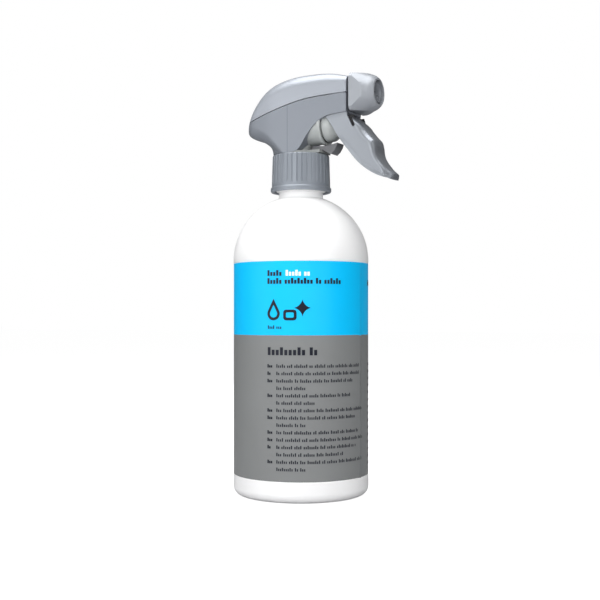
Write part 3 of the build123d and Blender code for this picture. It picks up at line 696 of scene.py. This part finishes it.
def make_shroud():
    """Cover and housing, parted along the seam and cut off at the front and along the trigger's rim.

    Both come out solid, with their skin a wall's thickness inside the casing's stations.
    """
    outer = casing_body()
    inner = copy_of(outer, "casing_inside")
    shrink = inner.modifiers.new("wall", "DISPLACE")
    shrink.strength, shrink.mid_level = -CASING_WALL * MM, 0.0
    baked(inner)
    front = front_block("front_cut", CASING_FRONT)
    below = rim_block()
    inner_front = front_block("inner_front", INNER_FRONT)
    cut(inner, inner_front)
    cut(outer, front)
    cover, housing = copy_of(outer, "cover_shell"), outer
    housing.name = "housing_shell"
    upper, lower = seam_block(SEAM_GAP / 2), seam_block(-SEAM_GAP / 2)
    cut(cover, upper, "INTERSECT")
    cut(cover, inner)
    cut(housing, lower)
    cut(housing, below)
    cut(housing, inner)
    removed(inner, front, upper, lower, below, inner_front)
    finished(cover, MATERIALS["shroud_plastic"], "sprayer", "shroud_plastic", "shroud_cover")
    finished(housing, SHADED_HOUSING, "sprayer", "shroud_plastic", "shroud_housing")


# ---- trigger ------------------------------------------------------------------------------------------
TRIGGER_FRONT = [
    (32.4, 197.4), (33.3, 195.0), (34.7, 191.8), (35.9, 188.6), (37.6, 185.9), (39.9, 183.6), (42.1, 181.3),
    (43.3, 178.7), (44.5, 175.6), (46.3, 172.8), (48.8, 170.1), (51.9, 167.7), (55.2, 165.9),
]
TRIGGER_BACK = [
    (18.9, 198.7), (22.3, 193.6), (25.5, 188.4), (28.8, 183.8), (32.2, 179.5), (35.6, 175.3), (39.1, 171.9),
    (43.5, 168.7), (48.0, 166.3), (51.9, 165.0), (54.8, 164.4),
]
# How far the front bulges in the middle, from the top of the lever to its tip
TRIGGER_BULGE = [
    (0.0, 1.2), (1.0, 4.2), (2.0, 5.6), (3.0, 5.2), (4.0, 5.0), (6.0, 5.2), (8.0, 4.6), (10.0, 1.2),
]
TRIGGER_ROWS, TRIGGER_WALL, TRIGGER_PLATE = 110, 1.1, 1.4
TRIGGER_HALF, TRIGGER_TAPER = 8.6, 1.5       # half width at the top, and what it loses down to the tip
SIDE_STEPS, FRONT_STEPS, FRONT_POWER = 10, 40, 3.0       # points up a wall and over the round front
LIP_FLARE, LIP_DEPTH = 0.35, 1.6             # how far the back edges roll out, and how deep the roll is
# Places down the lever, as shares of its length: where each change starts and how long it takes
TIP_START, TIP_RUN, TIP_ROUNDING = 0.84, 0.16, 0.80
LIP_START, LIP_RUN, LIP_END, LIP_END_RUN = 0.2, 0.1, 0.85, 0.15
CLOSING_START, CLOSING_RUN, HOLLOW_END = 0.82, 0.12, 0.94
HOLLOW_BACK, HOLLOW_LEAST, HOLLOW_SHUT = -1.0, 0.3, 0.4  # reach of the hollow from the lever's back
SLOT_LOW, SLOT_HIGH = Vector((34.6, 192.9)), Vector((32.2, 198.0))
SLOT_HALF, SLOT_DEPTH, SLOT_SIDE = 0.85, 2.4, 8.0
TRUNNION, EAR_R, EAR_HALF, EAR_SIDE = (26.4, 207.6), 3.7, 0.55, 8.05
EAR_BACK, EAR_FRONT = [(19.4, 197.2), (19.0, 199.2)], [(31.0, 200.4), (31.3, 197.2)]
PAD, PAD_HALF = [
    (24.95, 190.0), (24.95, 198.6), (25.3, 199.0), (26.2, 199.0), (26.55, 198.6), (26.55, 190.0),
    (26.2, 189.6), (25.3, 189.6),
], 7.5
WEB, WEB_HALF = [(25.8, 190.6), (25.8, 195.4), (34.4, 195.4), (35.6, 190.6)], 0.7
# Dark sheet of painted shade inside each slot: outline (x, z), half thickness and place across, in mm
SLOT_SHADE, SLOT_SHADE_HALF, SLOT_SHADE_SIDE = [(30.6, 198.4), (32.6, 191.6), (36.0, 191.6), (34.0, 198.4)], 0.15, 6.75


def eased(place, start, run):
    """0 up to start, 1 from start + run on, and a smooth step between them."""
    share = min(1.0, max(0.0, (place - start) / run))
    return share * share * (3 - 2 * share)


def lever_section(front, back, near, far, half, bulge, flare=0.0):
    """Loop round the lever at one place: up a side wall, over the bulging front, down the other wall."""
    out = (front - back).normalized()
    start, span = back + out * near, out * (far - near)
    wall = []
    for k in range(SIDE_STEPS):
        place = start + span * k / SIDE_STEPS
        flared = half + flare * max(0.0, 1 - (far - near) * k / SIDE_STEPS / LIP_DEPTH) ** 0.5
        wall.append((place, flared))
    loop = [(place.x, -y, place.y) for place, y in wall]
    for k in range(FRONT_STEPS + 1):
        y = -math.cos(math.pi * k / FRONT_STEPS)
        place = start + span + out * bulge * max(0.0, 1 - abs(y) ** FRONT_POWER) ** (1 / FRONT_POWER)
        loop.append((place.x, y * half, place.y))
    return loop + [(place.x, y, place.y) for place, y in reversed(wall)]


def lever_loops():
    """Loops of the lever's outer skin, and of the hollow behind its front plate."""
    curves = (TRIGGER_FRONT, TRIGGER_BACK, TRIGGER_BULGE)
    front, back, bulges = (curve_through(points, TRIGGER_ROWS) for points in curves)
    outer, inner = [], []
    for n, (f, b) in enumerate(zip(front, back)):
        t = n / (TRIGGER_ROWS - 1)
        half, depth, bulge = TRIGGER_HALF - TRIGGER_TAPER * t, (f - b).length, bulges[n].y
        if t > TIP_START:
            half *= math.sqrt(max(0.0, 1 - TIP_ROUNDING * ((t - TIP_START) / TIP_RUN) ** 2))
        lip = LIP_FLARE * eased(t, LIP_START, LIP_RUN) * (1 - eased(t, LIP_END, LIP_END_RUN))
        outer += lever_section(f, b, 0.0, depth, half, bulge, lip)
        closing = eased(t, CLOSING_START, CLOSING_RUN)
        reach = max(HOLLOW_LEAST, depth - TRIGGER_PLATE) * (1 - closing) - HOLLOW_SHUT * closing
        if t <= HOLLOW_END:
            if n == 0:      # the hollow runs out at the top
                up = (f - front[1]).normalized()
                inner += lever_section(f + up, b + up, HOLLOW_BACK, reach, half - TRIGGER_WALL, bulge)
            inner += lever_section(f, b, HOLLOW_BACK, reach, half - TRIGGER_WALL, bulge * (1 - closing))
    return outer, inner


def cut_slots(channel):
    """Long round-ended slot beside the front plate, through both walls."""
    along = (SLOT_HIGH - SLOT_LOW).normalized()
    sideways, endways = along.orthogonal() * SLOT_HALF, along * SLOT_HALF
    outline = []
    for end, turn in ((SLOT_LOW, 180), (SLOT_HIGH, 0)):
        for k in range(13):
            angle = math.radians(turn + k * 15)
            outline.append(tuple(end + sideways * math.cos(angle) + endways * math.sin(angle)))
    for side in (-1, 1):
        slot = side_cutter("slot", outline, SLOT_DEPTH)
        slot.location.y = side * SLOT_SIDE * MM
        bpy.context.view_layer.update()
        cut(channel, slot)
        removed(slot)


def make_ear(side):
    """Ear beside the lever's wall, with a round end about the trunnion."""
    x, z = TRUNNION
    turns = [math.radians(a) for a in range(180, -1, -12)]
    round_end = [(x + EAR_R * math.cos(a), z + EAR_R * math.sin(a)) for a in turns]
    ear = side_cutter("ear", EAR_BACK + round_end + EAR_FRONT, EAR_HALF)
    ear.location.y = side * EAR_SIDE * MM
    return ear


def joined(parts, name):
    """One object from several, which are then gone."""
    bpy.context.view_layer.update()
    shape = bmesh.new()
    for part in parts:
        loose = part.data.copy()
        loose.transform(part.matrix_world)
        shape.from_mesh(loose)
        bpy.data.meshes.remove(loose)
    mesh = bpy.data.meshes.new(name)
    shape.to_mesh(mesh)
    shape.free()
    removed(*parts)
    whole = bpy.data.objects.new(name, mesh)
    bpy.context.collection.objects.link(whole)
    return whole


def make_trigger():
    """Hollow lever with a bulging waved front, rolled lips, ears at the trunnions and a piston pad."""
    outer, inner = lever_loops()
    around = 2 * SIDE_STEPS + FRONT_STEPS + 1
    channel = scratch_object("trigger_skin", outer, tube_faces(len(outer) // around, around))
    hollow = scratch_object("trigger_hollow", inner, tube_faces(len(inner) // around, around))
    cut(channel, hollow)
    removed(hollow)
    cut_slots(channel)
    ears = [make_ear(side) for side in (-1, 1)]
    pad, web = side_cutter("pad", PAD, PAD_HALF), side_cutter("web", WEB, WEB_HALF)
    lever = joined([channel, *ears, pad, web], "trigger_lever")
    finished(lever, MATERIALS["trigger_plastic"], "trigger", "trigger_plastic", "trigger", angle=32)


def make_slot_shade_sheets():
    """Dark sheet just inside each slot, painted shade for the slot's dark inside."""
    for side, name in ((-1, "slot_shade_near"), (1, "slot_shade_far")):
        shade_sheet = side_cutter(name, SLOT_SHADE, SLOT_SHADE_HALF)
        shade_sheet.location.y = side * SLOT_SHADE_SIDE * MM
        bpy.context.view_layer.update()
        shade_sheet.data.transform(shade_sheet.matrix_world)
        shade_sheet.location.y = 0.0
        finished(shade_sheet, MATERIALS["seal_rubber"], "trigger", "trigger_plastic")


# ---- piston -------------------------------------------------------------------------------------------
PISTON_Z = 194.6
PISTON_SKIRT = [(12.8, 0.0), (12.8, 6.6), (13.0, 6.9), (15.9, 6.9), (16.1, 7.2), (16.1, 7.9)]
PISTON_NOSE = [
    (16.3, 8.15), (18.9, 8.1), (19.9, 7.9), (20.9, 7.3), (21.9, 6.7), (23.0, 6.2), (23.8, 5.6), (24.3, 4.6),
    (24.5, 3.2), (24.55, 0.0),
]
LEAST_RADIUS = 0.01


def turned(name, profile, axis_z, around=96):
    """Solid or ring turned about an axis along x, from (x, radius) points."""
    points = []
    for x, radius in profile:
        radius = max(LEAST_RADIUS, radius)
        for n in range(around):
            angle = 2 * math.pi * n / around
            points.append((x, radius * math.cos(angle), axis_z + radius * math.sin(angle)))
    return scratch_object(name, points, tube_faces(len(profile), around, capped=profile[0] != profile[-1]))


def make_piston():
    """Plunger with a wide skirt outside the cylinder and a rounded nose on the trigger's pad."""
    profile = curve_through(PISTON_SKIRT, 16) + curve_through(PISTON_NOSE, 40)
    plunger = turned("piston_plunger", [tuple(p) for p in profile], PISTON_Z)
    finished(plunger, MATERIALS["cylinder_plastic"], "piston", "cylinder_plastic", "piston")


# ---- nozzle insert ------------------------------------------------------------------------------------
BARREL_Z = 210.0
FUNNEL = [
    (42.3, 0.5), (42.3, 5.3), (44.2, 5.35), (44.6, 5.3), (44.85, 5.1), (44.9, 4.9), (44.8, 4.65), (44.2, 4.2),
    (43.5, 3.2), (43.0, 1.9), (42.85, 1.1), (42.8, 0.5), (42.3, 0.5),
]
# Dark ring in the groove round the insert: painted shade for the groove
SHADE_RING = [(42.25, 5.2), (42.25, 6.24), (42.75, 6.24), (42.75, 5.2), (42.25, 5.2)]


def make_insert():
    """Funnel round the orifice, standing in a groove whose dark ring is painted shade."""
    funnel = turned("insert_funnel", FUNNEL, BARREL_Z)
    finished(funnel, SHADED_INSERT, "nozzle", "nozzle_plastic", "nozzle_insert")
    shade_ring = turned("insert_shade_ring", SHADE_RING, BARREL_Z)
    finished(shade_ring, MATERIALS["seal_rubber"], "nozzle", "nozzle_plastic")


make_label()
make_print()
make_shroud()
make_trigger()
make_slot_shade_sheets()
make_piston()
make_insert()


# ---- set, light and camera ----------------------------------------------------------------------------
FLOOR_TONE, FLOOR_BOUNCE_TONE, FLOOR_GLOW = (0.3, 0.3, 0.3, 1), (0.3, 0.3, 0.31, 1), 0.93
FLOOR_HALF = 6.0             # metres
# Brightness of the room by height, from straight down to straight up
ROOM = ((0.0, 0.20), (0.48, 0.16), (0.56, 0.20), (0.72, 0.30), (1.0, 0.6))
ROOM_STRENGTH = 0.50
CAMERA_TURN, CAMERA_DISTANCE, CAMERA_HEIGHT = 27.8, 0.551, 0.0937    # degrees and metres
LENS, SENSOR, SHIFT_X, SHIFT_Y, NEAR = 61.74, 36.0, -0.0017, 0.03, 0.01


def make_floor():
    """Pale seamless floor, bright to the camera and calmer as a light source."""
    m = Maker("floor_white")
    tree = m.tree
    tree.nodes.remove(m.shader)
    sight = m.add("ShaderNodeLightPath")
    seen, dim = m.add("ShaderNodeBsdfDiffuse"), m.add("ShaderNodeBsdfDiffuse")
    seen.inputs["Color"].default_value = FLOOR_TONE
    dim.inputs["Color"].default_value = FLOOR_BOUNCE_TONE
    glow = m.add("ShaderNodeEmission")
    glow.inputs["Strength"].default_value = FLOOR_GLOW
    both = m.add("ShaderNodeAddShader")
    tree.links.new(seen.outputs[0], both.inputs[0])
    tree.links.new(glow.outputs[0], both.inputs[1])
    pick = m.add("ShaderNodeMixShader")
    m.link(sight, "Is Camera Ray", pick, "Fac")
    tree.links.new(dim.outputs[0], pick.inputs[1])
    tree.links.new(both.outputs[0], pick.inputs[2])
    tree.links.new(pick.outputs[0], m.out.inputs["Surface"])
    mesh = bpy.data.meshes.new("floor")
    shape = bmesh.new()
    bmesh.ops.create_grid(shape, x_segments=8, y_segments=8, size=FLOOR_HALF)
    shape.to_mesh(mesh)
    shape.free()
    mesh.materials.append(m.material)
    floor = bpy.data.objects.new("floor", mesh)
    bpy.context.collection.objects.link(floor)


def make_world():
    """White backdrop to the camera, and a soft grey room as a light source."""
    world = bpy.data.worlds.new("studio")
    bpy.context.scene.world = world
    world.use_nodes = True
    tree = world.node_tree
    tree.nodes.clear()
    out = tree.nodes.new("ShaderNodeOutputWorld")
    seen, light = tree.nodes.new("ShaderNodeBackground"), tree.nodes.new("ShaderNodeBackground")
    seen.inputs["Color"].default_value = (1, 1, 1, 1)
    place, split = tree.nodes.new("ShaderNodeTexCoord"), tree.nodes.new("ShaderNodeSeparateXYZ")
    rise = tree.nodes.new("ShaderNodeMapRange")
    rise.inputs["From Min"].default_value = -1
    ramp = tree.nodes.new("ShaderNodeValToRGB")
    while len(ramp.color_ramp.elements) < len(ROOM):
        ramp.color_ramp.elements.new(0.5)
    for point, (where, value) in zip(ramp.color_ramp.elements, ROOM):
        point.position, point.color = where, (value, value, value * 1.01, 1)
    sight, pick = tree.nodes.new("ShaderNodeLightPath"), tree.nodes.new("ShaderNodeMixShader")
    link = tree.links.new
    link(place.outputs["Generated"], split.inputs[0])
    link(split.outputs["Z"], rise.inputs["Value"])
    link(rise.outputs[0], ramp.inputs[0])
    link(ramp.outputs[0], light.inputs["Color"])
    light.inputs["Strength"].default_value = ROOM_STRENGTH
    link(sight.outputs["Is Camera Ray"], pick.inputs[0])
    link(light.outputs[0], pick.inputs[1])
    link(seen.outputs[0], pick.inputs[2])
    link(pick.outputs[0], out.inputs[0])


def softbox(name, spot, target, width, height, power, shines=True):
    """Rectangular lamp; one that does not shine lights surfaces without showing in their gloss."""
    lamp = bpy.data.lights.new(name, "AREA")
    lamp.shape, lamp.size, lamp.size_y, lamp.energy = "RECTANGLE", width, height, power
    holder = bpy.data.objects.new(name, lamp)
    bpy.context.collection.objects.link(holder)
    holder.location = spot
    holder.rotation_euler = (Vector(target) - Vector(spot)).to_track_quat("-Z", "Y").to_euler()
    holder.visible_glossy = shines


def make_camera():
    """Camera on a circle about the bottle, level and looking at its axis."""
    lens = bpy.data.cameras.new("camera")
    lens.sensor_width, lens.lens, lens.clip_start = SENSOR, LENS, NEAR
    lens.shift_x, lens.shift_y = SHIFT_X, SHIFT_Y
    camera = bpy.data.objects.new("camera", lens)
    bpy.context.collection.objects.link(camera)
    angle = math.radians(CAMERA_TURN)
    across, along = CAMERA_DISTANCE * math.sin(angle), -CAMERA_DISTANCE * math.cos(angle)
    camera.location = (across, along, CAMERA_HEIGHT)
    camera.rotation_euler = (math.radians(90), 0, angle)
    bpy.context.scene.camera = camera


make_floor()
make_world()
softbox("top_light", (-0.02, -0.12, 0.80), (0, 0, 0.1), 0.8, 0.7, 6.2)
softbox("left_light", (-0.55, -0.55, 0.35), (0, 0, 0.12), 0.5, 0.8, 0.5)
softbox("left_fill", (-0.50, -0.65, 0.20), (0, 0, 0.10), 0.6, 0.8, 2.4, shines=False)
softbox("front_fill", (0.35, -0.80, 0.25), (0, 0, 0.08), 0.6, 0.6, 3.6, shines=False)
softbox("front_light", (0.02, -0.85, 0.22), (0, 0, 0.15), 0.30, 0.7, 1.1)
softbox("wall_light", (-0.40, -0.76, 0.22), (0, 0, 0.19), 0.22, 0.4, 0.5)
softbox("right_light", (0.75, -0.25, 0.30), (0, 0, 0.10), 0.3, 0.7, 0.5)
softbox("right_fill", (0.70, -0.50, 0.03), (0, 0, 0.06), 0.5, 0.4, 3.2, shines=False)
softbox("back_fill", (-0.1, 0.8, 0.35), (0, 0, 0.12), 0.8, 0.5, 2.5, shines=False)
make_camera()
bpy.context.scene.view_settings.view_transform = "Standard"
